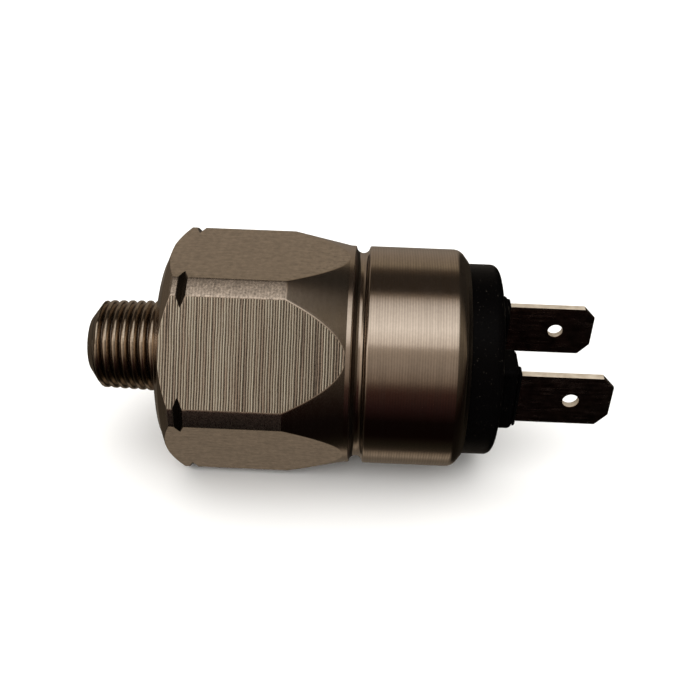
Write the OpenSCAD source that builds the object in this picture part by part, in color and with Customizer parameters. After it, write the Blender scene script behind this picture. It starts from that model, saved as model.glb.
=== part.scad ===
// Screw-in pressure switch with a hexagon body and two push-on terminals.
// The axis of the switch is the X axis. The thread points to -X, the terminals to +X.
// The origin is on the axis, in the plane of the shoulder behind the thread.
// The switch lies on one flat of its hexagon, so +Z is up and the lowest point is half
// the size across flats below the axis. All sizes are in millimetres.

/* [Thread] */
// Nominal diameter of the taper thread, at its gauge plane
thread_d = 10; // [9.8:0.1:10.4]
// Thread pitch
thread_pitch = 1; // [0.9:0.05:1.1]
// Length of the threaded end, from its tip to the shoulder
thread_len = 8.85; // [8.5:0.05:10]
// Growth of the diameter for each millimetre along the thread
thread_taper = 0.0625; // [0.05:0.0025:0.0625]
// Diameter of the flat face at the tip of the thread
tip_face_d = 6.2; // [5.6:0.1:7]
// Diameter of the pressure port
port_d = 3.6; // [2.5:0.1:4.4]

/* [Hexagon body] */
// Hexagon size across flats
hex_af = 24; // [23.8:0.1:24.2]
// Diameter that the hexagon's corners are turned down to
hex_corner_d = 26.6; // [26:0.1:27]
// Where the long cone towards the collar begins
cone_start = 13.3; // [12.5:0.1:14]
// Where the turned collar begins, after the half-round groove
collar_start = 21.5; // [21.4:0.1:22.4]
// Diameter of the turned collar
collar_d = 24; // [23.8:0.1:24.2]
// Outer end of the edge that is rolled over the terminal base
rim_end = 32.2; // [32:0.1:33.2]
// Place of the turned marking groove near the shoulder
mark_groove_x = 2.9; // [2.4:0.1:3.6]

/* [Terminal base] */
// Diameter of the visible neck of the base
base_d = 21; // [20.6:0.1:21.2]
// Outer face of the base
base_face = 35.6; // [35.4:0.1:36.6]
// Top of the two raised pads around the terminals
pad_top = 37.5; // [37:0.1:38]

/* [Terminals] */
// Width of a terminal blade
blade_w = 6.3; // [6.2:0.05:6.35]
// Thickness of a terminal blade
blade_t = 0.8; // [0.75:0.01:0.84]
// Tip of the terminal blades
blade_tip = 47.6; // [46.5:0.1:49]
// Distance between the middle planes of the two blades
blade_pitch = 12.4; // [12.2:0.1:12.6]
// Turn of the terminals away from square with the hexagon, in degrees
terminal_turn = 5; // [-8:1:8]

/* [Movement] */
// Gap between the open contacts, which is also the stroke of the plunger
contact_gap = 0.6; // [0.4:0.05:0.7]
// Pitch of the adjusting screw, which is its travel in one turn
screw_pitch = 0.8; // [0.5:0.1:0.8]

/* [Hidden] */
$fn = 96;
eps = 0.01;
slip = 0.02;

// Thread: one ridge for each turn, counted from the shoulder. Turn 0 runs out into a plain
// band, and the last turn is cut down by the chamfer at the tip.
ridge_count = 8;
first_ridge = -0.43;
ridge_depth = 0.6 * thread_pitch;
crest_w = 0.3;
root_w = 0.16;
gauge_x = -3.5;
chamfer_len = 1.9;
chamfer_rise = 2.6;

// Outside of the body
hex_r = hex_corner_d / 2;
collar_r = collar_d / 2;
shoulder_r = 10.4;
lead_len = 1.9;
lead_break_x = 0.75;
cone_end_r = 11.88;
groove_r = 0.72;
groove_x = collar_start - groove_r;
groove_lift = 0.06;
mark_w = 1.0;
mark_depth = 0.48;
roll_r = 1.4;
roll_start = rim_end - 1.6;
lip_len = 0.8;
lip_edge = 0.2;
lip_gap = 0.05;

// Inside of the body
chamber_x = 4;
chamber_r = 6.5;
seat_x = 6;
bore_r = 9.55;
collar_floor = 27;
collar_bore_r = 11.05;

// Stack inside the body, from the port towards the base
stack_r = bore_r - 0.05;
diaphragm_t = 1.2;
bead_rise = 0.35;
bead_in_r = 7.8;
bead_out_r = 9.4;
ring_x = seat_x + diaphragm_t;
ring_t = 4;
piston_r = 4.5;
piston_gap = 0.05;
piston_flange_r = 5.6;
piston_flange_x = ring_x + ring_t + slip;
tappet_x = piston_flange_x + 1;
sleeve_in_r = 8.75;

// Plunger and contacts
tappet_floor = 1;
tappet_foot_r = 5.4;
tappet_r = 4.6;
tappet_in_r = 3.25;
nose_r = 4;
nose_len = 1.2;
bridge_x = 16.6;
bridge_t = 0.5;
bridge_hub_r = 5.3;
bridge_end_r = 8.5;
bridge_w = 4.4;
bridge_top = bridge_x + bridge_t;
retainer_t = 0.4;
retainer_slot = 2.4;
contact_r = 1.2;
contact_t = 0.5;
rivet_r = 0.6;
rivet_lip = 0.15;
rivet_head_t = 0.3;
contact_y = blade_pitch / 2 + blade_t / 2 + rivet_r + rivet_lip + 0.05;
fixed_face = bridge_top + contact_t + contact_gap;
foot_x = fixed_face + contact_t;
foot_y = contact_y + 1;
leg_w = 4;

// Main spring and its seats
spring_r = 2.6;
spring_wire_r = 0.4;
spring_turns = 6;
seat_washer_t = 0.4;
seat_washer_r = tappet_in_r - 0.1;
seat_hole_r = 1;
spring_x0 = tappet_x + tappet_floor + seat_washer_t;
cap_x = 24.5;
cap_t = 0.8;
cap_r = 3.3;
cap_boss_r = 2.1;
cap_boss_len = 1;

// Base, with the threaded insert in its middle
base_x = 27.2;
base_r = base_d / 2;
base_edge_r = 0.85;
base_flange_r = 11;
base_flange_end = roll_start + 0.2;
seal_x = 29.2;
seal_groove_r = 9.9;
seal_groove_half = 0.6;
seal_wire_r = 0.57;
access_r = 2.85;
insert_in_r = 2.5;
insert_r = 3.4;
insert_end = 32.4;
insert_groove_x = base_x + 3;
insert_groove = 0.3;
pad_in = 2.9;
pad_out = 7.2;
pad_half = 4;
pad_round = 0.6;
pad_root = 2;

// Adjusting screw: it stays below the base's face one turn out, and its seal stays above the
// insert one turn in.
screw_r = 2.46;
screw_point_r = 1.4;
screw_x = cap_x + cap_t + slip;
screw_top = base_face - screw_pitch - 0.1;
screw_edge = 0.2;
slot_w = 0.8;
slot_depth = 0.7;
o_ring_x = insert_end + screw_pitch + 0.5;
o_ring_wire_r = 0.33;
o_ring_groove_half = 0.35;
o_ring_floor_r = 2.16;

// Terminals
blade_shoulder = base_x + 2;
nose = 1.3;
bevel = 1.1;
tip_t = 0.4;
hole_d = 1.7;
hole_back = 4.3;

steel = "#9b9184";
zinc = "#a59c8e";
brass = "#b8954a";
silver = "#d6d4cc";
tin = "#b0a78f";
black = "#141414";
rubber = "#1e1e1e";
natural = "#e6e0cf";

// Turns a shape drawn about the Z axis so that its axis lies along +X.
module along_x() {
    rotate([0, 90, 0]) children();
}

// A solid of revolution about X from an outline of [x, r] points.
module turned(outline) {
    along_x() rotate_extrude() polygon([for (p = outline) [p[1], p[0]]]);
}

// A round bar or ring about X from x0 to x1, with an optional hole.
module ring(x0, x1, r_out, r_in = 0) {
    turned([[x0, r_in], [x0, r_out], [x1, r_out], [x1, r_in]]);
}

// A seal of round section about X.
module seal_ring(x, floor_r, wire_r) {
    along_x() translate([0, 0, x]) rotate_extrude()
        translate([floor_r + wire_r + eps, 0]) circle(r = wire_r, $fn = 32);
}

// A block from x0 to x1, y0 to y1, centred on Z.
module slab(x0, x1, y0, y1, width) {
    translate([x0, y0, -width / 2]) cube([x1 - x0, y1 - y0, width]);
}

// Places a child at both contact stations, one on each side of the axis.
module both_sides() {
    for (side = [-1, 1]) mirror([0, side < 0 ? 1 : 0, 0]) children();
}

// Everything that turns with the terminals.
module clocked() {
    rotate([terminal_turn, 0, 0]) children();
}

// Outline points along a part of an arc, centred on [x, r].
function arc(x, r, radius, from, to, steps = 6) =
    [for (i = [0:steps]) let (a = from + (to - from) * i / steps)
        [x + radius * cos(a), r + radius * sin(a)]];

// Radius of the thread over its crests.
function crest_r(x) = (thread_d + (x - gauge_x) * thread_taper) / 2;

// One thread ridge, rising from the root, with a flat crest, seen from the tip.
function ridge(k) =
    let (x = first_ridge - k * thread_pitch, half = thread_pitch / 2 - root_w / 2, r = crest_r(x))
    [[x - half, r - ridge_depth], [x - crest_w / 2, r], [x + crest_w / 2, r],
     [x + half, r - ridge_depth]];

thread_outline = concat(
    [[-thread_len, 0], [-thread_len, crest_r(-thread_len) - ridge_depth]],
    [for (k = [ridge_count - 1:-1:1]) each ridge(k)],
    [[first_ridge - crest_w / 2, crest_r(0)], [0.5, crest_r(0)], [0.5, 0]]);

tip_outline = [
    [-thread_len, 0], [-thread_len, tip_face_d / 2],
    [-thread_len + chamfer_len, tip_face_d / 2 + chamfer_rise],
    [1, tip_face_d / 2 + chamfer_rise], [1, 0]
];

body_outline = concat(
    [[0, 0], [0, shoulder_r], [lead_break_x, hex_af / 2], [lead_len, hex_r],
     [mark_groove_x - mark_w / 2, hex_r], [mark_groove_x, hex_r - mark_depth],
     [mark_groove_x + mark_w / 2, hex_r], [cone_start, hex_r],
     [groove_x - groove_r, cone_end_r]],
    arc(groove_x, collar_r - groove_lift, groove_r, 180, 360, 10),
    [[collar_start, collar_r]],
    arc(roll_start, collar_r - roll_r, roll_r, 90, 35),
    [[rim_end, base_r + lip_gap + lip_edge], [rim_end - lip_edge, base_r + lip_gap],
     [rim_end - lip_len, base_r + lip_gap], [base_flange_end + lip_gap, collar_bore_r],
     [collar_floor, collar_bore_r], [collar_floor, bore_r], [seat_x, bore_r],
     [seat_x, chamber_r], [chamber_x, chamber_r], [chamber_x, 0]]);

// The hexagon bar, and the round part behind it that the collar is turned from.
module stock() {
    along_x() rotate([0, 0, 30]) cylinder(h = collar_start, d = hex_af / cos(30), $fn = 6);
    ring(collar_start - eps, rim_end + 1, collar_r + 1);
}

module hex_body() {
    color(steel)
    difference() {
        union() {
            intersection() {
                turned(thread_outline);
                turned(tip_outline);
            }
            intersection() {
                turned(body_outline);
                stock();
            }
        }
        ring(-thread_len - 1, chamber_x + 1, port_d / 2);
    }
}

module diaphragm() {
    color(rubber)
    turned([[seat_x + bead_rise, 0], [seat_x + bead_rise, bead_in_r],
            [seat_x, bead_in_r + bead_rise], [seat_x, bead_out_r],
            [ring_x, bead_out_r], [ring_x, 0]]);
}

module support_ring() {
    color(zinc)
    ring(ring_x, ring_x + ring_t, stack_r, piston_r + piston_gap);
}

module pressure_piston() {
    color(brass)
    turned([[ring_x + slip, 0], [ring_x + slip, piston_r], [piston_flange_x, piston_r],
            [piston_flange_x, piston_flange_r], [tappet_x, piston_flange_r], [tappet_x, 0]]);
}

module contact_tappet() {
    color(natural)
    turned([[tappet_x, 0], [tappet_x, tappet_foot_r], [tappet_x + tappet_floor, tappet_foot_r],
            [tappet_x + tappet_floor, tappet_r], [bridge_x, tappet_r], [bridge_x, nose_r],
            [bridge_x + nose_len, nose_r], [bridge_x + nose_len, tappet_in_r],
            [tappet_x + tappet_floor, tappet_in_r], [tappet_x + tappet_floor, 0]]);
}

module lower_spring_seat() {
    color(zinc)
    ring(tappet_x + tappet_floor, spring_x0, seat_washer_r, seat_hole_r);
}

module contact_bridge() {
    color(brass)
    clocked()
    difference() {
        intersection() {
            union() {
                ring(bridge_x, bridge_top, bridge_hub_r);
                slab(bridge_x, bridge_top, -bridge_end_r, bridge_end_r, bridge_w);
            }
            ring(bridge_x - 1, bridge_top + 1, bridge_end_r);
        }
        ring(bridge_x - 1, bridge_top + 1, nose_r + slip);
        both_sides() translate([0, contact_y, 0]) ring(bridge_x - 1, bridge_top + 1, rivet_r);
    }
}

module bridge_retainer() {
    color(steel)
    difference() {
        ring(bridge_top, bridge_top + retainer_t, tappet_r, nose_r);
        slab(bridge_x, bridge_top + 1, 0, tappet_r + 1, retainer_slot);
    }
}

// A rivet with a contact face at x = face and its shank towards direction (+1 or -1).
module contact_rivet(face, direction, sheet_t) {
    translate([face, contact_y, 0]) mirror([direction < 0 ? 1 : 0, 0, 0]) {
        ring(0, contact_t, contact_r);
        ring(contact_t - eps, contact_t + sheet_t + rivet_head_t, rivet_r);
        ring(contact_t + sheet_t, contact_t + sheet_t + rivet_head_t, rivet_r + rivet_lip);
    }
}

module moving_contacts() {
    color(silver)
    clocked() both_sides() contact_rivet(bridge_top + contact_t, -1, bridge_t);
}

module fixed_contacts() {
    color(silver)
    clocked() both_sides() contact_rivet(fixed_face, 1, blade_t);
}

// A coil of round wire: rings of points carried along a helix about X, closed at both ends.
module coil(mean_r, wire_r, x0, x1, turns, per_turn = 16, sides = 8) {
    n = turns * per_turn;
    points = [
        for (i = [0:n]) let (
            t = i / n,
            a = 360 * turns * t,
            x = x0 + wire_r + (x1 - x0 - 2 * wire_r) * t)
        for (j = [0:sides - 1]) let (b = 360 * j / sides, r = mean_r + wire_r * cos(b))
        [x + wire_r * sin(b), r * cos(a), r * sin(a)]
    ];
    sides_faces = [
        for (i = [0:n - 1]) for (j = [0:sides - 1]) let (k = (j + 1) % sides)
        [i * sides + j, i * sides + k, (i + 1) * sides + k, (i + 1) * sides + j]
    ];
    polyhedron(points, concat(
        [[for (j = [sides - 1:-1:0]) j]], sides_faces, [[for (j = [0:sides - 1]) n * sides + j]]));
}

module main_spring() {
    color(steel)
    coil(spring_r, spring_wire_r, spring_x0 + eps, cap_x - eps, spring_turns);
}

module spring_cap() {
    color(zinc)
    turned([[cap_x - cap_boss_len, 0], [cap_x - cap_boss_len, cap_boss_r], [cap_x, cap_boss_r],
            [cap_x, cap_r], [cap_x + cap_t, cap_r], [cap_x + cap_t, 0]]);
}

module adjusting_screw() {
    color(brass)
    difference() {
        turned([[screw_x, 0], [screw_x, screw_point_r],
                [screw_x + screw_r - screw_point_r, screw_r],
                [o_ring_x - o_ring_groove_half, screw_r],
                [o_ring_x - o_ring_groove_half, o_ring_floor_r],
                [o_ring_x + o_ring_groove_half, o_ring_floor_r],
                [o_ring_x + o_ring_groove_half, screw_r],
                [screw_top - screw_edge, screw_r], [screw_top, screw_r - screw_edge],
                [screw_top, 0]]);
        slab(screw_top - slot_depth, screw_top + 1, -screw_r - 1, screw_r + 1, slot_w);
    }
}

module adjuster_o_ring() {
    color(rubber)
    seal_ring(o_ring_x, o_ring_floor_r, o_ring_wire_r);
}

// Outside of the insert, with the groove that the plastic grips, from [base_x, insert_r] on.
insert_outline = [
    [base_x, insert_r], [insert_groove_x - 2 * insert_groove, insert_r],
    [insert_groove_x - insert_groove, insert_r - insert_groove],
    [insert_groove_x + insert_groove, insert_r - insert_groove],
    [insert_groove_x + 2 * insert_groove, insert_r], [insert_end, insert_r]
];

module threaded_insert() {
    color(brass)
    turned(concat([[base_x, insert_in_r]], insert_outline, [[insert_end, insert_in_r]]));
}

module insulating_sleeve() {
    color(natural)
    ring(ring_x + ring_t, base_x, stack_r, sleeve_in_r);
}

// A terminal on the +Y side: blade with lead-in bevels and a detent hole, leg and foot.
module spade_terminal() {
    y0 = blade_pitch / 2 - blade_t / 2;
    y1 = blade_pitch / 2 + blade_t / 2;
    difference() {
        union() {
            intersection() {
                translate([0, y1, 0]) rotate([90, 0, 0]) linear_extrude(blade_t)
                    polygon([[blade_shoulder, -blade_w / 2], [blade_tip - nose, -blade_w / 2],
                             [blade_tip, -blade_w / 2 + nose], [blade_tip, blade_w / 2 - nose],
                             [blade_tip - nose, blade_w / 2], [blade_shoulder, blade_w / 2]]);
                translate([0, blade_pitch / 2, -blade_w]) linear_extrude(2 * blade_w)
                    polygon([[base_x, -blade_t / 2], [blade_tip - bevel, -blade_t / 2],
                             [blade_tip, -tip_t / 2], [blade_tip, tip_t / 2],
                             [blade_tip - bevel, blade_t / 2], [base_x, blade_t / 2]]);
            }
            slab(foot_x, blade_shoulder + eps, y0, y1, leg_w);
            slab(foot_x, foot_x + blade_t, y0, foot_y, leg_w);
        }
        translate([blade_tip - hole_back, y0 - 1, 0]) rotate([-90, 0, 0])
            cylinder(h = blade_t + 2, d = hole_d);
        translate([0, contact_y, 0]) ring(foot_x - 1, foot_x + blade_t + 1, rivet_r);
    }
}

module spade_terminal_front() {
    color(tin) clocked() mirror([0, 1, 0]) spade_terminal();
}

module spade_terminal_rear() {
    color(tin) clocked() spade_terminal();
}

// One raised pad with rounded edges, on the +Y side of the base.
module terminal_pad() {
    hull()
        for (y = [pad_in + pad_round, pad_out - pad_round], z = [-1, 1] * (pad_half - pad_round)) {
            translate([pad_top - pad_round, y, z]) sphere(r = pad_round, $fn = 24);
            translate([base_face - pad_root, y, z]) along_x() cylinder(h = 1, r = pad_round, $fn = 24);
        }
}

module terminal_base() {
    color(black)
    clocked()
    difference() {
        union() {
            turned(concat(
                [[base_x, 0], [base_x, base_flange_r],
                 [seal_x - seal_groove_half, base_flange_r],
                 [seal_x - seal_groove_half, seal_groove_r],
                 [seal_x + seal_groove_half, seal_groove_r],
                 [seal_x + seal_groove_half, base_flange_r],
                 [base_flange_end, base_flange_r], [rim_end - lip_len, base_r]],
                arc(base_face - base_edge_r, base_r - base_edge_r, base_edge_r, 90, 0),
                [[base_face, 0]]));
            both_sides() terminal_pad();
        }
        turned(concat([[base_x, 0]], insert_outline, [[insert_end, 0]]));
        ring(insert_end - eps, pad_top + 1, access_r);
        both_sides() {
            slab(base_x - 1, blade_shoulder, blade_pitch / 2 - blade_t / 2,
                 blade_pitch / 2 + blade_t / 2, leg_w);
            slab(blade_shoulder - eps, pad_top + 1, blade_pitch / 2 - blade_t / 2,
                 blade_pitch / 2 + blade_t / 2, blade_w);
        }
    }
}

module base_o_ring() {
    color(rubber)
    seal_ring(seal_x, seal_groove_r, seal_wire_r);
}

hex_body();
diaphragm();
support_ring();
pressure_piston();
contact_tappet();
lower_spring_seat();
contact_bridge();
bridge_retainer();
moving_contacts();
main_spring();
spring_cap();
adjusting_screw();
adjuster_o_ring();
threaded_insert();
insulating_sleeve();
fixed_contacts();
terminal_base();
base_o_ring();
spade_terminal_front();
spade_terminal_rear();
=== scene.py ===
"""Looks of the screw-in pressure switch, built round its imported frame.

Lengths are in millimetres until a mesh is made, and every mesh is then in metres.
The switch's axis is X, with the thread towards -X. "Angle" is the angle about that axis,
0 towards -Y and 90 degrees upwards.
"""
import math

import bmesh
import bpy
import numpy as np
from mathutils import Matrix, Vector


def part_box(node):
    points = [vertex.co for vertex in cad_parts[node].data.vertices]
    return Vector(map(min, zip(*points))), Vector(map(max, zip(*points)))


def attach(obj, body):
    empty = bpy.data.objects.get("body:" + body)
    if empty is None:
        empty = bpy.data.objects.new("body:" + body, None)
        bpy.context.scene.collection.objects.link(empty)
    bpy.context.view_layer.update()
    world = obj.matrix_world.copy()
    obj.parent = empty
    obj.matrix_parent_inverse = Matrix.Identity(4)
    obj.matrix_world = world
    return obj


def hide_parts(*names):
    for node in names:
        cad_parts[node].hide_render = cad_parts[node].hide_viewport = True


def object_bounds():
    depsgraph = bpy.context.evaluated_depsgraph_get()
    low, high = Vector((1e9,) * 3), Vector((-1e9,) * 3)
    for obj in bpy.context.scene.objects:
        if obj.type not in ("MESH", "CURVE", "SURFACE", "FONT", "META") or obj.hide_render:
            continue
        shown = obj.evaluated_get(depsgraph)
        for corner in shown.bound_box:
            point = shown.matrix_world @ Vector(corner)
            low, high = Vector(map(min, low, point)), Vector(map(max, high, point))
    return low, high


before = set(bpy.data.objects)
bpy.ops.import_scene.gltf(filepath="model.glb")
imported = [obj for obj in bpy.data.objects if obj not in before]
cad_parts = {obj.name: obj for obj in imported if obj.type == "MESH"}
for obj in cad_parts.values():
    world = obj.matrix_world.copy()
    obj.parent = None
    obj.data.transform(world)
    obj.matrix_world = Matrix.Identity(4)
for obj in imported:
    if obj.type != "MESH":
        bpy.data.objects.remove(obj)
cad_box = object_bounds()

MM = 0.001


# ---------------------------------------------------------------- sizes

def lowest(node, axis):
    """Lowest coordinate of a CAD node along an axis, in millimetres."""
    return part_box(node)[0][axis] / MM


def highest(node, axis):
    """Highest coordinate of a CAD node along an axis, in millimetres."""
    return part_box(node)[1][axis] / MM


TIP_X = lowest("hex_body", 0)
RIM_X = highest("hex_body", 0)
FLAT_R = -lowest("hex_body", 2)
CORNER_R = highest("hex_body", 1)
COLLAR_R = FLAT_R
BASE_TOP = highest("terminal_base", 0)
BLADE_TIP = highest("spade_terminal_rear", 0)

# Thread. The radius over the crests is GAUGE_R at GAUGE_X and grows by TAPER for each mm,
# which is 1:16 on the diameter.
PITCH = 1.0
TIP_FACE_R = 3.1
CHAMFER_LEN = 1.9
CHAMFER_RISE = 2.6
PORT_R = 1.8
PORT_EDGE = 0.25
RIDGE_DEPTH = 0.6
HALF_CREST = 0.26
FLANK = 0.22
WEAR = 0.2
GAUGE_X = -3.5
GAUGE_R = 5.0
TAPER = 1 / 32
CREST_X = -0.65
RUN_OUT_X = -0.58
RUN_OUT_SLOPE = 1.2
# Stations on one pitch from a crest's middle, close together where the ridge bends, and the
# strips between them that lie in the root, which get a darker finish as painted shade
STATIONS = np.array([-0.5, -0.48, -0.40, -0.32, -0.26, -0.24, -0.20, -0.12,
                     0.0, 0.12, 0.20, 0.24, 0.26, 0.32, 0.40, 0.48])
ROOT_STRIPS = (0, 1, 14, 15)

# Body: shoulder and lead-in chamfer, marking groove, cone, round groove, collar with its
# rolled rim, and the bores inside
SHOULDER_R = 10.4
SHOULDER_EDGE = 0.12
LEAD_BREAK_X = 0.75
LEAD_END_X = 1.9
MARK_X = 2.9
MARK_HALF = 0.5
MARK_DEPTH = 0.48
MARK_ROOT_HALF = 0.03
CONE_X = 13.3
CONE_END_R = 11.88
COLLAR_X = 21.5
COLLAR_EDGE = 0.24
GROOVE_R = 0.72
GROOVE_X = COLLAR_X - 2 * GROOVE_R
GROOVE_EDGE = 0.13
ROLL_X = RIM_X - 1.6
ROLL_R = 1.4
RIM_EDGE = 0.16
NECK_R = 10.5
RIM_INNER_R = NECK_R + 0.05
FLAT_EDGE = 0.11
CHAMBER_X = 4.0
CHAMBER_R = 6.5
SEAT_X = 6.0
BORE_R = 9.55
COLLAR_FLOOR = 27.0
COLLAR_BORE_R = 11.05
FLANGE_END = ROLL_X + 0.25

# Terminal base
BASE_X = 27.2
BASE_FACE = BASE_TOP - 1.9
BASE_EDGE_R = 0.85
FLANGE_R = 11.0
ACCESS_R = 2.85
ACCESS_EDGE = 0.12
INSERT_END = 32.4
INSERT_R = 3.4
PAD_IN = 2.9
PAD_OUT = 7.2
PAD_HALF = 4.0
PAD_EDGE_R = 0.6
PAD_SINK = 0.4
SLOT_GAP = 0.02
LIP_RISE = 0.3
LIP_WALL = 0.4

# Blades
BLADE_W = 6.3
BLADE_T = 0.8
BLADE_Y = 6.2
TURN = math.radians(5)
NOSE = 1.3
BEVEL = 1.1
TIP_T = 0.4
HOLE_R = 0.85
HOLE_BACK = 4.3
BLADE_ROOT_X = 29.2
EDGE_ROUND = 0.06
CORNER_INSET = math.tan(math.radians(22.5))
FOOT_X = 19.1
FOOT_Y = 8.4
LEG_W = 4.0
BEND_R = 0.8
# Parts of each stretch of the outline: side, corner, tip, corner, side and root
BLADE_COUNTS = (30, 4, 16, 4, 30, 12)
# Strips of the blade's grid: how many, those round its edge, and the one that lines the hole
BLADE_STRIPS = 16
EDGE_STRIPS = slice(6, 9)
HOLE_STRIP = 15

# Columns round the body in each of its six sectors
FLAT_COLUMNS = 14
EDGE_COLUMNS = 3
BAND_COLUMNS = 20
SECTORS = 6
AROUND = SECTORS * BAND_COLUMNS
SECTOR = 2 * math.pi / SECTORS
MILLED_SECTOR = 0

# Finishes, in the order of the pieces' material slots
# Two of the steel's finishes are painted shade: a dark one for the grooves' walls, and a less dark
# one for the thread's roots and the marking groove's other wall
TURNED, DRAWN_FLAT, FLY_CUT, BAND, PAINTED_SHADE, THREAD, PAINTED_HALF_SHADE, CONE = range(8)
STAMPED, SHEARED = range(2)

# Edges of a mesh that bend more than this many degrees stay sharp, and points of it that are
# closer than this many metres become one
SHARP = 32
WELD = 2e-7


# ---------------------------------------------------------------- making meshes

def line(start, end, count):
    """Points [x, r], `count` of them, evenly from start up to, but without, end."""
    share = np.arange(count)[:, None] / count
    return np.asarray(start, float) * (1 - share) + np.asarray(end, float) * share


def arc(centre, radius, start, end, count):
    """Points, `count` of them, of a circle's arc from its start to its end angle in degrees:
    each is the centre plus radius * (cos angle, sin angle)."""
    angle = np.radians(np.linspace(start, end, count))
    return np.stack([centre[0] + radius * np.cos(angle), centre[1] + radius * np.sin(angle)], 1)


def polyline(corners, count=1):
    """The straight line through all corners, each stretch in count parts."""
    parts = [line(a, b, count) for a, b in zip(corners[:-1], corners[1:])]
    return np.vstack(parts + [np.asarray([corners[-1]], float)])


def round_axis(x, r, angle):
    """Points at x along the axis and r from it: y = -r cos(angle), z = r sin(angle)."""
    x, r, angle = np.broadcast_arrays(x, r, angle)
    return np.stack([x, -r * np.cos(angle), r * np.sin(angle)], -1)


def revolved(profile, start=0.0):
    """A profile of [x, r] turned once round the axis: one row for each of its points, and
    columns at even angles from the start angle on."""
    angle = start + np.arange(AROUND + 1) * 2 * np.pi / AROUND
    return round_axis(profile[:, :1], profile[:, 1:], angle[None, :])


def turn_with_terminals(points):
    """Points turned about the axis by the terminals' small turn."""
    c, s = math.cos(TURN), math.sin(TURN)
    x, y, z = points[..., 0], points[..., 1], points[..., 2]
    return np.stack([x, c * y - s * z, s * y + c * z], -1)


def loft(rings):
    """A grid from closed rings of points, one row each, with the first column repeated last."""
    rows = np.stack(rings)
    return np.concatenate([rows, rows[:, :1]], 1)


def mesh_piece(name, grids, finishes, paint=None):
    """One welded mesh from grids of points [rows, columns, 3] in millimetres.

    Every four neighbouring points make a face. paint gives each grid the number of its finish,
    or an array with one number for each face. Points that coincide are merged, which closes
    seams and poles and drops the faces that have no area.
    """
    points, faces, numbers, start = [], [], [], 0
    for i, grid in enumerate(grids):
        rows, columns = grid.shape[:2]
        index = np.arange(rows * columns).reshape(rows, columns) + start
        quads = np.stack([index[:-1, :-1], index[:-1, 1:], index[1:, 1:], index[1:, :-1]], -1)
        points.append(grid.reshape(-1, 3))
        faces.append(quads.reshape(-1, 4))
        number = 0 if paint is None else paint[i]
        numbers.append(np.broadcast_to(number, (rows - 1, columns - 1)).reshape(-1))
        start += rows * columns
    mesh = bpy.data.meshes.new(name)
    mesh.from_pydata(np.vstack(points) * MM, [], np.vstack(faces))
    mesh.polygons.foreach_set("material_index", np.concatenate(numbers).astype(np.int32))
    work = bmesh.new()
    work.from_mesh(mesh)
    bmesh.ops.remove_doubles(work, verts=work.verts, dist=WELD)
    bmesh.ops.dissolve_degenerate(work, edges=work.edges, dist=1e-8)
    bmesh.ops.recalc_face_normals(work, faces=work.faces)
    work.to_mesh(mesh)
    work.free()
    mesh.polygons.foreach_set("use_smooth", np.ones(len(mesh.polygons), bool))
    mesh.set_sharp_from_angle(angle=math.radians(SHARP))
    for finish in finishes:
        mesh.materials.append(finish)
    piece = bpy.data.objects.new(name, mesh)
    bpy.context.scene.collection.objects.link(piece)
    even = piece.modifiers.new("even_normals", "WEIGHTED_NORMAL")
    even.keep_sharp = True
    return piece


# ---------------------------------------------------------------- nodes and colours

def linear(code):
    """An sRGB hex colour as linear red, green, blue and alpha."""
    values = [int(code[i:i + 2], 16) / 255 for i in (1, 3, 5)]
    return [v / 12.92 if v <= 0.04045 else ((v + 0.055) / 1.055) ** 2.4 for v in values] + [1]


def add(tree, kind, inputs=(), stops=None, **settings):
    """Adds a node with its settings. inputs are values or the sockets that feed them, and
    stops are a ramp's [place, colour] pairs."""
    made = tree.nodes.new(kind)
    for name, value in settings.items():
        setattr(made, name, value)
    for name, value in dict(inputs).items():
        if isinstance(value, bpy.types.NodeSocket):
            tree.links.new(value, made.inputs[name])
        else:
            made.inputs[name].default_value = value
    for i, (place, colour) in enumerate(stops or []):
        ramp = made.color_ramp.elements
        stop = ramp[i] if i < 2 else ramp.new(place)
        stop.position, stop.color = place, linear(colour)
    return made


def finish_material(name):
    """An empty node material and its tree, with Object coordinates to draw patterns on."""
    material = bpy.data.materials.new(name)
    material.use_nodes = True
    tree = material.node_tree
    tree.nodes.clear()
    place = add(tree, "ShaderNodeTexCoord").outputs["Object"]
    return material, tree, place


def close_material(tree, shader):
    """Sends a shader to the material's surface."""
    add(tree, "ShaderNodeOutputMaterial", {"Surface": shader.outputs[0]})


def streaks(tree, place, along, across):
    """Noise drawn out into streaks: spacing `across` mm on X and `along` mm on Y and Z."""
    scale = (1 / (across * MM), 1 / (along * MM), 1 / (along * MM))
    mapped = add(tree, "ShaderNodeMapping", {"Vector": place, "Scale": scale})
    return add(tree, "ShaderNodeTexNoise", {
        "Vector": mapped.outputs["Vector"], "Scale": 1.0, "Detail": 3.0,
        "Roughness": 0.6}).outputs["Fac"]


def mottle(tree, place, size, detail=3.0):
    """Even noise with blotches of `size` mm."""
    return add(tree, "ShaderNodeTexNoise", {
        "Vector": place, "Scale": 1 / (size * MM), "Detail": detail,
        "Roughness": 0.6}).outputs["Fac"]


def ripples(tree, place, pitch):
    """Regular lines across X, `pitch` mm apart, pushed about a little by noise. At scale 1 a
    wave texture repeats every 2 pi / 20 units."""
    return add(tree, "ShaderNodeTexWave", {
        "Vector": place, "Scale": 2 * math.pi / (20 * pitch * MM), "Distortion": 1.5,
        "Detail": 2.0, "Detail Scale": 0.35}, bands_direction="X").outputs["Fac"]


def calculate(tree, operation, *values):
    """One step of arithmetic on values or sockets."""
    return add(tree, "ShaderNodeMath", dict(enumerate(values)), operation=operation).outputs[0]


def spread_to(tree, value, low, high, low_in=0.3, high_in=0.7):
    """A noise's usual range, from low_in to high_in, drawn out to low to high."""
    return add(tree, "ShaderNodeMapRange", {
        "Value": value, "From Min": low_in, "From Max": high_in,
        "To Min": low, "To Max": high}).outputs["Result"]


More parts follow.
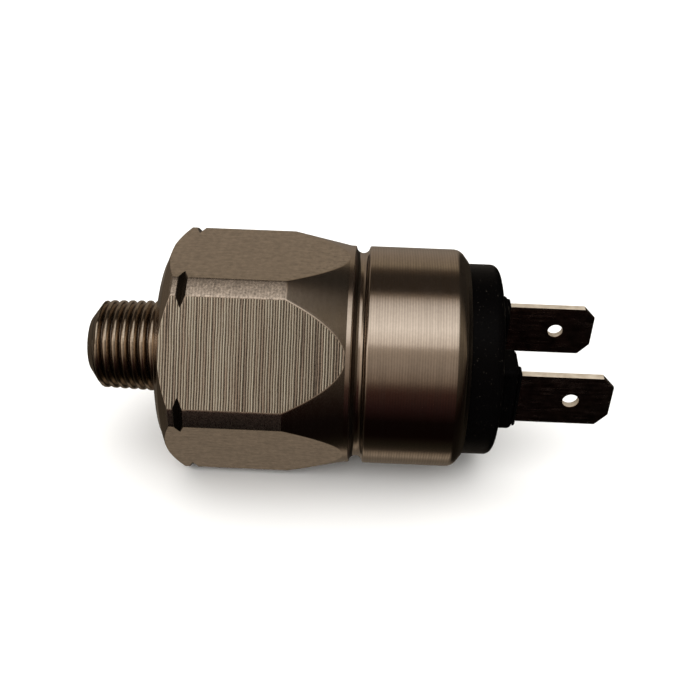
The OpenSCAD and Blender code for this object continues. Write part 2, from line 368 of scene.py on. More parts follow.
def relief(tree, height, depth, **under):
    """The normal of a surface whose height changes by `depth` mm."""
    return add(tree, "ShaderNodeBump", {
        "Height": height, "Strength": 1.0, "Distance": depth * MM, **under}).outputs["Normal"]


def two_tone(tree, place, colours, patch, texture, gloss, depth, **surface):
    """Closes a material whose colour changes in patches of `patch` mm between two tones, and
    whose gloss and relief both follow one texture. gloss is the roughness at its low and high."""
    colour = add(tree, "ShaderNodeValToRGB", {"Fac": mottle(tree, place, patch)}, stops=[
        (0.3, colours[0]), (0.7, colours[1])]).outputs["Color"]
    close_material(tree, add(tree, "ShaderNodeBsdfPrincipled", {
        "Base Color": colour, "Roughness": spread_to(tree, texture, *gloss),
        "Normal": relief(tree, texture, depth), **surface}))


# ---------------------------------------------------------------- materials

def plated_steel(name, look):
    """Zinc-nickel plated free-cutting steel.

    The plating is thin and satin, so the cutter's lines stay visible under a warm grey. The
    feed marks are an even ripple along the axis; where the tool chattered, a streaked noise
    makes them uneven and broader; and fine noise gives the grain of the plating. All three
    change the shade, the gloss and the relief together, as real marks do.
    """
    material, tree, place = finish_material(name)
    feed = ripples(tree, place, look["feed"])
    uneven = streaks(tree, place, look["length"], look["gap"])
    grain = mottle(tree, place, look["grain"], 2.0)
    feed_part = calculate(tree, "MULTIPLY", feed, uneven)
    lines = calculate(tree, "MULTIPLY_ADD", feed_part, look["feed_share"], uneven)
    mean = 0.5 + 0.25 * look["feed_share"]
    marks = spread_to(tree, lines, -1, 1, mean - 0.3, mean + 0.3)
    dots = spread_to(tree, grain, -1, 1)
    line_shade = calculate(tree, "MULTIPLY_ADD", marks, look["line_shade"], 1.0)
    shade = calculate(tree, "MULTIPLY_ADD", dots, look["grain_shade"], line_shade)
    colour = add(tree, "ShaderNodeMix", {
        0: 1.0, 6: linear(look["colour"]), 7: shade}, data_type="RGBA",
        blend_type="MULTIPLY").outputs[2]
    dullest, glossiest = look["rough"] + look["spread"], look["rough"] - look["spread"]
    cut = relief(tree, lines, look["line_depth"])
    close_material(tree, add(tree, "ShaderNodeBsdfPrincipled", {
        "Base Color": colour, "Metallic": 1.0,
        "Roughness": spread_to(tree, marks, dullest, glossiest, -1, 1),
        "Normal": relief(tree, grain, look["grain_depth"], Normal=cut)}))
    return material


def black_nylon():
    """Glass-filled nylon, injection moulded: nearly black with a soft sheen, a fine grain
    from the tool and a rare pale speck of a fibre's end or dust."""
    material, tree, place = finish_material("black_glass_filled_nylon")
    grain = mottle(tree, place, 0.22)
    dust = mottle(tree, place, 0.14, 1.0)
    colour = add(tree, "ShaderNodeValToRGB", {"Fac": dust}, stops=[
        (0.0, "#020202"), (0.81, "#4A443C"), (0.73, "#040303")]).outputs["Color"]
    close_material(tree, add(tree, "ShaderNodeBsdfPrincipled", {
        "Base Color": colour, "Roughness": spread_to(tree, grain, 0.26, 0.42), "IOR": 1.5,
        "Specular IOR Level": 0.04, "Normal": relief(tree, grain, 0.01)}))
    return material


def sheet_metal(name, colours, roughness, line_gap=0.12, depth=0.004, metallic=1.0):
    """Rolled and stamped strip: faint lines along the rolling direction, and a patchy lustre.
    A sheared edge is torn and matt, so it's less metallic."""
    material, tree, place = finish_material(name)
    turned = add(tree, "ShaderNodeMapping", {
        "Vector": place, "Rotation": (0, math.radians(90), 0)}).outputs["Vector"]
    lines = streaks(tree, turned, 3.0, line_gap)
    gloss = (roughness - 0.06, roughness + 0.1)
    two_tone(tree, place, colours, 1.1, lines, gloss, depth, Metallic=metallic)
    return material


def turned_metal(name, colours, roughness):
    """Metal from the lathe: close rings round the axis, and a slight change of shade."""
    material, tree, place = finish_material(name)
    rings = streaks(tree, place, 4.0, 0.08)
    gloss = (roughness - 0.05, roughness + 0.08)
    two_tone(tree, place, colours, 1.5, rings, gloss, 0.004, Metallic=1.0)
    return material


def moulded(name, colours, roughness, ior):
    """Moulded polymer: an even colour with cloudy flow marks, and the fine grain of its tool."""
    material, tree, place = finish_material(name)
    grain = mottle(tree, place, 0.2)
    gloss = (roughness - 0.06, roughness + 0.1)
    two_tone(tree, place, colours, 2.5, grain, gloss, 0.01, IOR=ior)
    return material


# ---------------------------------------------------------------- body

def crest_radius(x):
    """Radius of the taper thread over its crests: a straight line in x."""
    return GAUGE_R + (x - GAUGE_X) * TAPER


def turns_at(angle):
    """Turns of the helix from straight up to an angle, against the angle's own direction."""
    return (np.pi / 2 - angle) / (2 * np.pi)


def thread_radius(x, angle):
    """Right-handed thread cut on a taper, with a chamfered tip and a run-out at the shoulder.

    The ridge is a wave in x - pitch * turns with a nearly flat top: its height falls from the
    crest's middle with the fourth power of the distance, as rolled and worn crests do, then in
    a flank down to the root. The cone of the tip cuts it off, and the last turn grows to full
    size.
    """
    phase = (x - CREST_X) / PITCH - turns_at(angle)
    away = np.abs(phase - np.round(phase)) * PITCH
    fall = (1 - WEAR) * np.clip((away - HALF_CREST) / FLANK, 0, 1)
    worn = WEAR * np.minimum(away / HALF_CREST, 1) ** 4
    ridge = crest_radius(x) - RIDGE_DEPTH * (fall + worn)
    run_out = crest_radius(0) - RUN_OUT_SLOPE * np.clip(RUN_OUT_X - x, 0, 1)
    chamfer = TIP_FACE_R + CHAMFER_RISE / CHAMFER_LEN * (x - TIP_X)
    return np.minimum(np.maximum(ridge, run_out), chamfer)


def thread_grid():
    """The threaded end, from the tip to the shoulder, as rows that follow the helix: each row
    is one station of one turn, at x = first crest + pitch * (turn + station + turns)."""
    angle = np.arange(AROUND + 1)[None, :] * 2 * np.pi / AROUND
    first = math.floor(TIP_X / PITCH) - 2
    phase = (np.arange(first, 3)[:, None] + STATIONS[None, :]).reshape(-1, 1)
    x = np.clip(CREST_X + PITCH * (phase + turns_at(angle)), TIP_X, 0)
    return round_axis(x, thread_radius(x, angle), angle)


def flat_half_angle(x, r):
    """Half the angle that one flat of the hexagon takes up where the turned radius is r: the
    angle whose cosine is the flat's distance / r."""
    inside = (x > LEAD_BREAK_X) & (x < GROOVE_X) & (r > FLAT_R)
    return np.where(inside, np.arccos(np.clip(FLAT_R / np.maximum(r, FLAT_R), -1, 1)), 0)


def outer_profile():
    """Outside of the body from the thread to the rim. On the two cones the stations are even
    in the flat's half angle a, with r = flat distance / cos a, so that the ends of the flats
    are smooth arcs."""
    widest = math.acos(FLAT_R / CORNER_R)

    def cone(x_from, x_to, a_from, a_to, count):
        r = FLAT_R / np.cos(np.linspace(a_from, a_to, count))
        share = (r - r[0]) / (r[-1] - r[0])
        return np.stack([x_from + (x_to - x_from) * share, r], 1)

    apex_x = CONE_X + (CORNER_R - FLAT_R) / (CORNER_R - CONE_END_R) * (GROOVE_X - CONE_X)
    mark_floor = CORNER_R - MARK_DEPTH
    edge = SHOULDER_EDGE
    return np.vstack([
        # thread's end, shoulder and lead-in chamfer
        line([0, crest_radius(0)], [0, SHOULDER_R - edge], 6),
        arc([edge, SHOULDER_R - edge], edge, 180, 116, 4),
        line([edge, SHOULDER_R + 0.10], [LEAD_BREAK_X, FLAT_R], 5),
        cone(LEAD_BREAK_X, LEAD_END_X, 0, widest, 22),
        # hexagon with its marking groove
        line([LEAD_END_X + 0.02, CORNER_R], [MARK_X - MARK_HALF, CORNER_R], 3),
        line([MARK_X - MARK_HALF, CORNER_R], [MARK_X - MARK_ROOT_HALF, mark_floor], 6),
        line([MARK_X + MARK_ROOT_HALF, mark_floor], [MARK_X + MARK_HALF, CORNER_R], 6),
        line([MARK_X + MARK_HALF, CORNER_R], [CONE_X, CORNER_R], 14),
        # cone with its turned land, and the round groove
        cone(CONE_X, apex_x, widest, 0, 60),
        line([apex_x + 0.02, FLAT_R], [GROOVE_X - GROOVE_EDGE - 0.01, FLAT_R - 0.01], 4),
        arc([GROOVE_X - GROOVE_EDGE, FLAT_R - GROOVE_EDGE - 0.01], GROOVE_EDGE, 90, 0, 6),
        arc([GROOVE_X + GROOVE_R, COLLAR_R - 0.06], GROOVE_R, 185, 338, 22),
        # collar with its rolled rim
        arc([COLLAR_X + 0.22, COLLAR_R - COLLAR_EDGE], COLLAR_EDGE, 170, 90, 10),
        line([COLLAR_X + 0.25, COLLAR_R], [ROLL_X, COLLAR_R], 30),
        arc([ROLL_X, COLLAR_R - ROLL_R], ROLL_R, 90, 35, 12),
        arc([RIM_X - RIM_EDGE, RIM_INNER_R + 0.22], RIM_EDGE, 60, -60, 6),
    ])


def inner_profile():
    """Inside of the body from the rim back to the flat face of the thread's tip."""
    return polyline([
        [RIM_X - 0.2, RIM_INNER_R], [RIM_X - 0.8, RIM_INNER_R], [FLANGE_END, COLLAR_BORE_R],
        [COLLAR_FLOOR, COLLAR_BORE_R], [COLLAR_FLOOR, BORE_R], [SEAT_X, BORE_R],
        [SEAT_X, CHAMBER_R], [CHAMBER_X, CHAMBER_R], [CHAMBER_X, PORT_R],
        [TIP_X + PORT_EDGE, PORT_R], [TIP_X, PORT_R + PORT_EDGE], [TIP_X, TIP_FACE_R]], 3)


def body_grid(profile):
    """The profile carried round the axis, cut by the six flats of the hexagon.

    Each sector of 60 degrees has a flat, a small rounded edge, a turned band and another
    edge. On the flat a point is at the flat's distance and goes sideways by t * half width.
    On the band its angle goes evenly from one flat's edge to the next. The rounded edge is a
    quadratic curve from just inside the flat, by the sharp edge, to just inside the band.
    """
    x, r = profile[:, :1], profile[:, 1:]
    half = flat_half_angle(x, r)
    width = np.sqrt(np.maximum(r ** 2 - FLAT_R ** 2, 0)) * (half > 0)
    inset = np.minimum(FLAT_EDGE, 0.3 * width)
    band_half = SECTOR / 2 - half
    band_inset = np.minimum(inset / r, 0.3 * band_half) * (half > 0)

    flat_t = np.linspace(-1, 1, FLAT_COLUMNS + 1)[None, :]
    sideways = flat_t * (width - inset)
    depth = np.where(half > 0, FLAT_R, r) + 0 * sideways
    band_t = np.linspace(0, 1, BAND_COLUMNS + 1)[None, :]
    angle = half + band_inset + band_t * 2 * (band_half - band_inset)
    band_depth, band_side = r * np.cos(angle), r * np.sin(angle)
    s = (np.arange(1, EDGE_COLUMNS) / EDGE_COLUMNS)[None, :]

    def curve(a, b, c):
        return (1 - s) ** 2 * a + 2 * s * (1 - s) * b + s ** 2 * c

    edge_depth = curve(depth[:, -1:], r * np.cos(half), band_depth[:, :1])
    edge_side = curve(sideways[:, -1:], r * np.sin(half), band_side[:, :1])
    sector_depth = np.hstack([depth, edge_depth, band_depth])
    sector_side = np.hstack([sideways, edge_side, band_side])
    # the second edge mirrors the first about the middle of the band
    c, n = math.cos(SECTOR), math.sin(SECTOR)
    back_depth = c * edge_depth[:, ::-1] + n * edge_side[:, ::-1]
    back_side = n * edge_depth[:, ::-1] - c * edge_side[:, ::-1]
    sector_depth = np.hstack([sector_depth, back_depth])
    sector_side = np.hstack([sector_side, back_side])
    sectors = []
    for number in range(SECTORS):
        turn = SECTOR / 2 + SECTOR * number
        d = sector_depth * math.cos(turn) - sector_side * math.sin(turn)
        u = sector_depth * math.sin(turn) + sector_side * math.cos(turn)
        sectors.append(np.stack([np.broadcast_to(x, d.shape), -d, u], -1))
    ring = np.concatenate(sectors, 1)
    return np.concatenate([ring, ring[:, :1]], 1)


def body_paint(profile):
    """Finish of each face of body_grid(profile). The flats are drawn or fly-cut all along, and
    elsewhere
    the finish depends on x alone: turned, the bands between the flats, the cone, and painted
    shade:
    dark on both grooves' walls towards the thread, less dark on the marking groove's other wall."""
    x = profile[:-1, 0]
    on_cone = (x >= CONE_X - 1e-6) & (x < GROOVE_X)
    between_flats = (x > LEAD_END_X - 0.3) & (x < CONE_X - 1e-6)
    # painted shade: the round groove's wall towards the thread gets the dark finish
    in_shade = (x >= GROOVE_X - 1e-6) & (x < GROOVE_X + GROOVE_R / 2)
    # all of the marking groove but its first strip is painted shade: dark on the wall towards the
    # thread, less dark on the wall towards the terminals
    in_mark = np.abs(x - MARK_X + 0.02) < MARK_HALF - 0.03
    paint = np.where(on_cone, CONE, np.where(between_flats, BAND, TURNED))
    paint = np.where(in_shade, PAINTED_SHADE, paint)
    paint = np.where(in_mark, np.where(x < MARK_X, PAINTED_SHADE, PAINTED_HALF_SHADE), paint)

    columns = FLAT_COLUMNS + 1 + (EDGE_COLUMNS - 1) + (BAND_COLUMNS + 1) + (EDGE_COLUMNS - 1)
    column = np.arange(SECTORS * columns)
    on_flat = ((x >= LEAD_BREAK_X - 1e-6) & (x < GROOVE_X))[:, None] & (
        column % columns < FLAT_COLUMNS)[None, :]
    flat_finish = np.where(column // columns == MILLED_SECTOR, FLY_CUT, DRAWN_FLAT)
    return np.where(on_flat, flat_finish[None, :], paint[:, None])


def hexagon_body(finishes):
    """The whole steel body as one closed surface: thread, hexagon, cone, groove, collar,
    rolled rim, bore and port. The bore's columns start where the first sector does."""
    outer = outer_profile()
    inner = np.vstack([outer[-1:], inner_profile()])
    thread = thread_grid()
    # the thread's roots get the less dark painted-shade finish
    root = np.isin(np.arange(len(thread) - 1) % len(STATIONS), ROOT_STRIPS)
    thread_paint = np.where(root, PAINTED_HALF_SHADE, THREAD)[:, None]
    grids = [thread, body_grid(outer), revolved(inner, SECTOR / 2)]
    paint = [thread_paint, body_paint(outer), TURNED]
    return mesh_piece("steel_body", grids, finishes, paint)


# ---------------------------------------------------------------- terminal base

def base_profile():
    """Closed outline of the base's turned shape: flange under the rolled rim, neck with a
    rounded edge, end face, access hole and the seat of the threaded insert."""
    return np.vstack([
        polyline([[BASE_X, INSERT_R], [BASE_X, FLANGE_R], [FLANGE_END, FLANGE_R],
                  [RIM_X - 0.8, NECK_R]]),
        line([RIM_X - 0.7, NECK_R], [BASE_FACE - BASE_EDGE_R, NECK_R], 6),
        arc([BASE_FACE - BASE_EDGE_R, NECK_R - BASE_EDGE_R], BASE_EDGE_R, 90, 0, 10),
        line([BASE_FACE, NECK_R - BASE_EDGE_R - 0.05], [BASE_FACE, ACCESS_R + 0.15], 8),
        arc([BASE_FACE - ACCESS_EDGE, ACCESS_R + ACCESS_EDGE], ACCESS_EDGE, 0, -90, 4),
        polyline([[BASE_FACE - 0.3, ACCESS_R], [INSERT_END, ACCESS_R], [INSERT_END, INSERT_R],
                  [BASE_X, INSERT_R]]),
    ])


def rounded_ring(x, middle, half_y, half_z, corner, count=64):
    """A rounded rectangle across the axis at x: each point is its corner's centre plus the
    corner radius at an even angle, so the straight sides lie between two of the corners."""
    angle = (np.arange(count) + 0.5) * 2 * np.pi / count
    y = middle + np.sign(np.cos(angle)) * (half_y - corner) + corner * np.cos(angle)
    z = np.sign(np.sin(angle)) * (half_z - corner) + corner * np.sin(angle)
    return np.stack([np.full(count, x), y, z], 1)


def pad_grid(side):
    """A raised pad with a rounded top edge and a low lip round the blade's slot. The rings go
    up the outside, over the top to the lip, and down inside the slot."""
    middle, half = (PAD_IN + PAD_OUT) / 2, (PAD_OUT - PAD_IN) / 2
    slot_y, slot_z = BLADE_T / 2 + SLOT_GAP, BLADE_W / 2 + SLOT_GAP
    under = BASE_FACE - PAD_SINK
    rings = [rounded_ring(under, side * middle, half, PAD_HALF, PAD_EDGE_R)]
    for angle in np.linspace(0, np.pi / 2, 7):
        inset = PAD_EDGE_R * (1 - math.cos(angle))
        x = BASE_TOP - PAD_EDGE_R * (1 - math.sin(angle))
        rings.append(rounded_ring(x, side * middle, half - inset, PAD_HALF - inset,
                                  PAD_EDGE_R - 0.8 * inset))
    # the lip: share of its rise, and the distance from the slot's wall
    for rise, wall in ((0, LIP_WALL), (0.6, LIP_WALL - 0.03), (0.9, LIP_WALL - 0.1),
                       (1, LIP_WALL - 0.2), (1, 0.05), (0.8, 0)):
        rings.append(rounded_ring(BASE_TOP + rise * LIP_RISE, side * BLADE_Y,
                                  slot_y + wall, slot_z + wall, EDGE_ROUND + wall / 2))
    rings.append(rounded_ring(under, side * BLADE_Y, slot_y, slot_z, EDGE_ROUND))
    rings.append(rings[0])
    return turn_with_terminals(loft(rings))


def base_piece(plastic):
    """The moulded terminal base: its turned shape and the two pads."""
    grids = [revolved(base_profile()), pad_grid(1), pad_grid(-1)]
    return mesh_piece("moulded_terminal_base", grids, [plastic])


# ---------------------------------------------------------------- terminals

def blade_corners(inset, tip_x, tip_half):
    """Outline of a blade in [x, z], from its root round its tip: the sides, the two slanted
    corners of the nose and the tip edge, each moved inwards by inset."""
    w = BLADE_W / 2 - inset
    nose_x = BLADE_TIP - NOSE - CORNER_INSET * inset
    corners = [[BLADE_ROOT_X, -w], [nose_x, -w], [tip_x, -tip_half], [tip_x, tip_half],
               [nose_x, w], [BLADE_ROOT_X, w], [BLADE_ROOT_X, -w]]
    return np.vstack([line(a, b, n) for a, b, n in zip(corners[:-1], corners[1:], BLADE_COUNTS)])


def blade_half_thickness(x):
    """Half the blade's thickness, which falls evenly to the tip along the lead-in bevel."""
    slope = (BLADE_T - TIP_T) / 2 / BEVEL
    return np.minimum(BLADE_T / 2, TIP_T / 2 + (BLADE_TIP - x) * slope)


def blade_grid(side):
    """A flat blade with a round hole, as rings round its section: from the hole's front edge
    over the front face to the bevel, round the sheared edge and back over the rear face."""
    face = blade_corners(EDGE_ROUND, BLADE_TIP - BEVEL, BLADE_W / 2 - EDGE_ROUND - NOSE + BEVEL)
    hole_x = BLADE_TIP - HOLE_BACK
    angle = np.arctan2(face[:, 1], face[:, 0] - hole_x)

    def outline(inset):
        tip_half = BLADE_W / 2 - NOSE - CORNER_INSET * inset
        return blade_corners(inset, BLADE_TIP - inset, tip_half)

    def circle(r):
        return np.stack([hole_x + r * np.cos(angle), r * np.sin(angle)], 1)

    def ring(flat, front, sink):
        y = front * (blade_half_thickness(flat[:, 0]) - sink)
        return np.stack([flat[:, 0], BLADE_Y + y, flat[:, 1]], 1)

    e = EDGE_ROUND
    half = [(circle(HOLE_R), e), (circle(HOLE_R + 0.3 * e), 0.3 * e), (circle(HOLE_R + e), 0),
            (circle(HOLE_R + 2 * e), 0), (face, 0), (outline(e), 0), (outline(0.3 * e), 0.3 * e),
            (outline(0), e)]
    rings = [ring(flat, 1, sink) for flat, sink in half]
    rings += [ring(flat, -1, sink) for flat, sink in half[::-1]]
    rings.append(rings[0])
    grid = loft(rings)
    grid[..., 1] *= side
    return turn_with_terminals(grid)


def blade_paint():
    """Finish of each face of a blade: sheared on its long sides and in the hole, and stamped
    on the faces and the pressed nose."""
    ends = np.cumsum(BLADE_COUNTS)
    paint = np.full((BLADE_STRIPS, ends[-1]), STAMPED)
    paint[EDGE_STRIPS, :ends[0]] = SHEARED
    paint[EDGE_STRIPS, ends[3]:ends[4]] = SHEARED
    paint[HOLE_STRIP] = SHEARED
    return paint


def leg_grid(side):
    """The leg inside the base and the foot bent off it: a rounded strip carried along a
    straight line, a quarter circle and a short straight line."""
    path = np.vstack([
        line([BLADE_ROOT_X + 0.2, BLADE_Y], [FOOT_X + BEND_R, BLADE_Y], 8),
        arc([FOOT_X + BEND_R, BLADE_Y + BEND_R], BEND_R, 270, 180, 8),
        line([FOOT_X, BLADE_Y + BEND_R + 0.05], [FOOT_X, FOOT_Y], 3), [[FOOT_X, FOOT_Y]]])
    along = np.gradient(path, axis=0)
    along /= np.linalg.norm(along, axis=1, keepdims=True)
    section = rounded_ring(0, 0, BLADE_T / 2, LEG_W / 2, 0.1, 24)
    x = path[:, :1] - along[:, 1:] * section[None, :, 1]
    y = path[:, 1:] + along[:, :1] * section[None, :, 1]
    z = np.broadcast_to(section[None, :, 2], x.shape)
    rows = np.stack([x, y, z], -1)
    ends = [np.broadcast_to(rows[i].mean(0), rows[i].shape)[None] for i in (0, -1)]
    grid = np.concatenate([ends[0], rows, ends[1]])
    grid = np.concatenate([grid, grid[:, :1]], 1)
    grid[..., 1] *= side
    return turn_with_terminals(grid)


def terminal_piece(name, side, finishes):
    """One stamped terminal: blade, leg and foot."""
    return mesh_piece(name, [blade_grid(side), leg_grid(side)], finishes, [blade_paint(), 0])


# ---------------------------------------------------------------- scene

def studio_camera():
    """A long lens above the switch's near side, turned a little about its own axis."""
    aim = Vector((19.71, 0.21, 0.33)) * MM
    distance = 106.5 * MM
    azimuth = math.radians(1.18)
    elevation = math.radians(32.8)
    roll = math.radians(1.72)
    back = Vector((math.sin(azimuth) * math.cos(elevation),
                   -math.cos(azimuth) * math.cos(elevation), math.sin(elevation)))
    level = Vector((math.cos(azimuth), math.sin(azimuth), 0))
    right = level * math.cos(roll) + back.cross(level) * math.sin(roll)
    up = back.cross(right)
    data = bpy.data.cameras.new("camera")
    data.lens = 49.1
    data.sensor_width = 36.0
    data.clip_start = 0.005
    data.clip_end = 20
    camera = bpy.data.objects.new("camera", data)
    camera.matrix_world = Matrix.Translation(aim + back * distance) @ Matrix(
        (right, up, back)).transposed().to_4x4()
    bpy.context.scene.collection.objects.link(camera)
    bpy.context.scene.camera = camera


def pale_floor():
    """A wide plain floor under the switch, left out of the metal's reflections."""
    bpy.ops.mesh.primitive_plane_add(size=12, location=(0, 0, cad_box[0].z - 0.02 * MM))
    floor = bpy.context.object
    floor.name = "floor"
    material = bpy.data.materials.new("white_paper")
    material.use_nodes = True
    shader = material.node_tree.nodes["Principled BSDF"]
    shader.inputs["Base Color"].default_value = linear("#F4F3F1")
    shader.inputs["Roughness"].default_value = 0.9
    shader.inputs["Specular IOR Level"].default_value = 0.0
    floor.data.materials.append(material)
    floor.visible_glossy = False


# The room that the metal reflects: the angle about X from the -Y side upwards, in degrees, and
# the colour there, seen across the switch, towards its terminals and towards its thread
SKY = [
    (-180, "#80766C"), (-123, "#645C52"), (-106, "#645C52"), (-97, "#8A8074"), (-90, "#7A7064"),
    (-84, "#342E27"), (-75, "#201D17"), (-60, "#0A0302"), (-38, "#0A0403"), (-22, "#241414"),
    (-5, "#38241F"), (1, "#4C3C34"), (8, "#766A60"), (23, "#8F857C"), (34, "#968C82"),
    (40, "#A3998F"), (44, "#DDD7D1"), (60, "#FCFAF8"), (76, "#E4E1DE"), (86, "#CECAC6"),
    (93, "#A8A099"), (97, "#665B50"), (102, "#2A221B"), (124, "#2B241D"), (132, "#453B31"),
    (141, "#827869"), (166, "#887E74"), (180, "#857D73"),
]
TERMINAL_SKY = [
    (-180, "#2A2620"), (-90, "#14110D"), (-40, "#0A0504"), (-19, "#160C08"), (0, "#2C251E"),
    (30, "#4A4238"), (62, "#665E52"), (78, "#544D43"), (96, "#352F28"), (108, "#1E1A15"),
    (140, "#1E1A15"), (180, "#2A2620"),
]
THREAD_SKY = [
    (-180, "#5A5248"), (-90, "#2A251E"), (-50, "#140E0A"), (-25, "#3A3028"), (0, "#988C80"),
    (30, "#CCC0B4"), (48, "#F0E8E0"), (66, "#C8BEB4"), (80, "#5A5248"), (100, "#30291F"),
    (125, "#544C42"), (145, "#80766C"), (180, "#5A5248"),
]


def studio_light():
    """A soft studio: one broad light overhead, a mid grey room in front and behind, a paler
    one towards the thread, a darker one towards the terminals, and a dark floor for the metal
    to reflect. Area lights that the metal doesn't reflect light the floor."""
    world = bpy.data.worlds.new("studio")
    bpy.context.scene.world = world
    world.use_nodes = True
    tree = world.node_tree
    tree.nodes.clear()
    direction = add(tree, "ShaderNodeTexCoord").outputs["Generated"]
    split = add(tree, "ShaderNodeSeparateXYZ", {"Vector": direction}).outputs
    towards = calculate(tree, "MULTIPLY", split["Y"], -1.0)
    angle = calculate(tree, "ARCTAN2", split["Z"], towards)
    share = spread_to(tree, angle, 0, 1, -math.pi, math.pi)

    def sky(stops):
        ends_first = [stops[0], stops[-1]] + stops[1:-1]
        return add(tree, "ShaderNodeValToRGB", {"Fac": share}, stops=[
            ((degrees + 180) / 360, colour) for degrees, colour in ends_first]).outputs["Color"]

    def mix(share, colour, other):
        return add(tree, "ShaderNodeMix", {
            0: share, 6: colour, 7: other}, data_type="RGBA").outputs[2]

    def towards_end(inner, outer, behind, ahead):
        side = add(tree, "ShaderNodeMapRange", {
            "Value": split["X"], "From Min": inner, "From Max": outer},
            interpolation_type="SMOOTHSTEP").outputs["Result"]
        return mix(side, behind, ahead)

    # each end's room begins and is complete where a direction has this much of X in it
    room = towards_end(0.14, 0.30, sky(SKY), sky(TERMINAL_SKY))
    room = towards_end(-0.30, -0.50, room, sky(THREAD_SKY))
    ray = add(tree, "ShaderNodeLightPath").outputs
    reflected = calculate(tree, "MAXIMUM", ray["Is Glossy Ray"], ray["Is Transmission Ray"])
    shown = mix(reflected, linear("#F8F7F5"), room)
    back = add(tree, "ShaderNodeBackground", {"Color": shown, "Strength": 1.0})
    add(tree, "ShaderNodeOutputWorld", {"Surface": back.outputs[0]})

    for name, place, size, power in (("top_light", (0.02, -0.05, 0.5), 0.9, 2.6),
                                     ("fill_light", (-0.25, -0.4, 0.3), 0.5, 0.8)):
        data = bpy.data.lights.new(name, "AREA")
        data.shape = "DISK"
        data.size = size
        data.energy = power
        lamp = bpy.data.objects.new(name, data)
        lamp.location = place
        lamp.rotation_mode = "QUATERNION"
        lamp.rotation_quaternion = (Vector(place) * -1).to_track_quat("-Z", "Y")
        lamp.visible_camera = False
        lamp.visible_glossy = False
        bpy.context.scene.collection.objects.link(lamp)
    bpy.context.scene.view_settings.view_transform = "Standard"


studio_camera()
pale_floor()
studio_light()

# The steel's finishes, in the order of their numbers. feed is the spacing of the feed marks and
# feed_share their weight beside the streaks, which are length by gap; grain is the size of the
# plating's grain. The shades and spread say how far these change the colour and the roughness,
# and the depths how deep they are. Lengths are in mm.
STEEL = {
    "turned": dict(feed=0.28, feed_share=1.2, length=9.0, gap=0.5, grain=0.35, colour="#D4C4B3",
                   line_shade=0.09, grain_shade=0.04, rough=0.14, spread=0.03,
                   line_depth=0.0016, grain_depth=0.002),
    "drawn_flat": dict(feed=0.9, feed_share=0.1, length=0.3, gap=1.6, grain=0.45, colour="#DACBBA",
                       line_shade=0.16, grain_shade=0.14, rough=0.24, spread=0.03,
                       line_depth=0.002, grain_depth=0.004),
    "fly_cut": dict(feed=0.27, feed_share=1.7, length=20.0, gap=0.33, grain=0.25, colour="#DCCCBA",
                    line_shade=0.75, grain_shade=0.1, rough=0.24, spread=0.05,
                    line_depth=0.018, grain_depth=0.004),
    "band": dict(feed=0.31, feed_share=0.4, length=0.6, gap=0.35, grain=0.2, colour="#CFBFAE",
                 line_shade=0.28, grain_shade=0.32, rough=0.30, spread=0.05,
                 line_depth=0.010, grain_depth=0.012),
    # painted shade: a dark finish for both grooves' walls towards the thread
    "groove": dict(feed=0.2, feed_share=0.3, length=2.0, gap=0.3, grain=0.2, colour="#4E453C",
                   line_shade=0.1, grain_shade=0.2, rough=0.4, spread=0.05,
                   line_depth=0.003, grain_depth=0.003),
    "thread": dict(feed=0.15, feed_share=0.3, length=3.0, gap=0.5, grain=0.18, colour="#C0B09D",
                   line_shade=0.12, grain_shade=0.22, rough=0.13, spread=0.05,
                   line_depth=0.002, grain_depth=0.004),
    # painted shade: a less dark finish for the thread's roots and the marking groove's wall
    # towards the terminals
    "half_shade_painted": dict(feed=0.15, feed_share=0.5, length=3.0, gap=0.3, grain=0.3,
                        colour="#8A7D70", line_shade=0.10, grain_shade=0.15, rough=0.25,
                        spread=0.04, line_depth=0.002, grain_depth=0.004),
    "cone": dict(feed=0.12, feed_share=0.4, length=6.0, gap=0.5, grain=0.4, colour="#D0C0AF",
                 line_shade=0.04, grain_shade=0.05, rough=0.17, spread=0.03,
                 line_depth=0.0012, grain_depth=0.003),
}

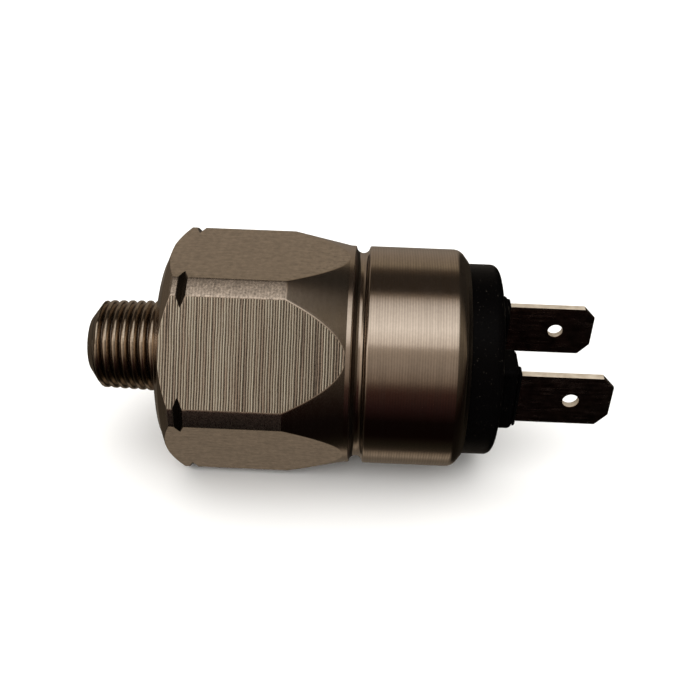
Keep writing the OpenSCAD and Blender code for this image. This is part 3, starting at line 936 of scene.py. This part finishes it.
body_finishes = [plated_steel("plated_steel_" + kind, look) for kind, look in STEEL.items()]
body = hexagon_body(body_finishes)
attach(body, "housing")
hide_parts("hex_body")

nylon = black_nylon()
base = base_piece(nylon)
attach(base, "housing")
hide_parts("terminal_base")

# The two tones of each bare metal
BRASS = ("#A88A4C", "#C9A862")
ZINC = ("#A9A49B", "#C9C5BC")
WIRE = ("#6F6C68", "#8B8884")
SILVER = ("#CFCDC6", "#E6E4DE")
blade_finishes = [
    sheet_metal("tinned_brass_stamped", ("#7C6C62", "#D6BDB0"), 0.2, 0.3, 0.0006),
    sheet_metal("tinned_brass_sheared_edge", ("#A2937F", "#C2B5A2"), 0.5, 0.1, 0.01, 0.2),
]
for name, side in (("front", -1), ("rear", 1)):
    terminal = terminal_piece("stamped_terminal_" + name, side, blade_finishes)
    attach(terminal, "housing")
    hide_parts("spade_terminal_" + name)

cad_finishes = {
    "diaphragm": moulded("nitrile_rubber_moulded", ("#141312", "#1C1B1A"), 0.62, 1.52),
    "support_ring": turned_metal("zinc_plated_steel_turned", ZINC, 0.3),
    "pressure_piston": turned_metal("brass_turned", BRASS, 0.28),
    "contact_tappet": moulded("natural_nylon_moulded", ("#DDD5C2", "#EAE4D4"), 0.42, 1.53),
    "main_spring": turned_metal("spring_wire_drawn", WIRE, 0.32),
    "moving_contacts": turned_metal("fine_silver_coined", SILVER, 0.2),
    "contact_bridge": sheet_metal("brass_strip_rolled", BRASS, 0.3),
    "spade_terminal_front": blade_finishes[STAMPED],
    "terminal_base": nylon,
    "hex_body": body_finishes[TURNED],
}
for node, same_as in (
        ("lower_spring_seat", "support_ring"), ("spring_cap", "support_ring"),
        ("bridge_retainer", "main_spring"), ("adjusting_screw", "pressure_piston"),
        ("threaded_insert", "pressure_piston"), ("adjuster_o_ring", "diaphragm"),
        ("base_o_ring", "diaphragm"), ("insulating_sleeve", "contact_tappet"),
        ("fixed_contacts", "moving_contacts"), ("spade_terminal_rear", "spade_terminal_front")):
    cad_finishes[node] = cad_finishes[same_as]
for node, finish in cad_finishes.items():
    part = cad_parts[node]
    part.data.materials.clear()
    part.data.materials.append(finish)
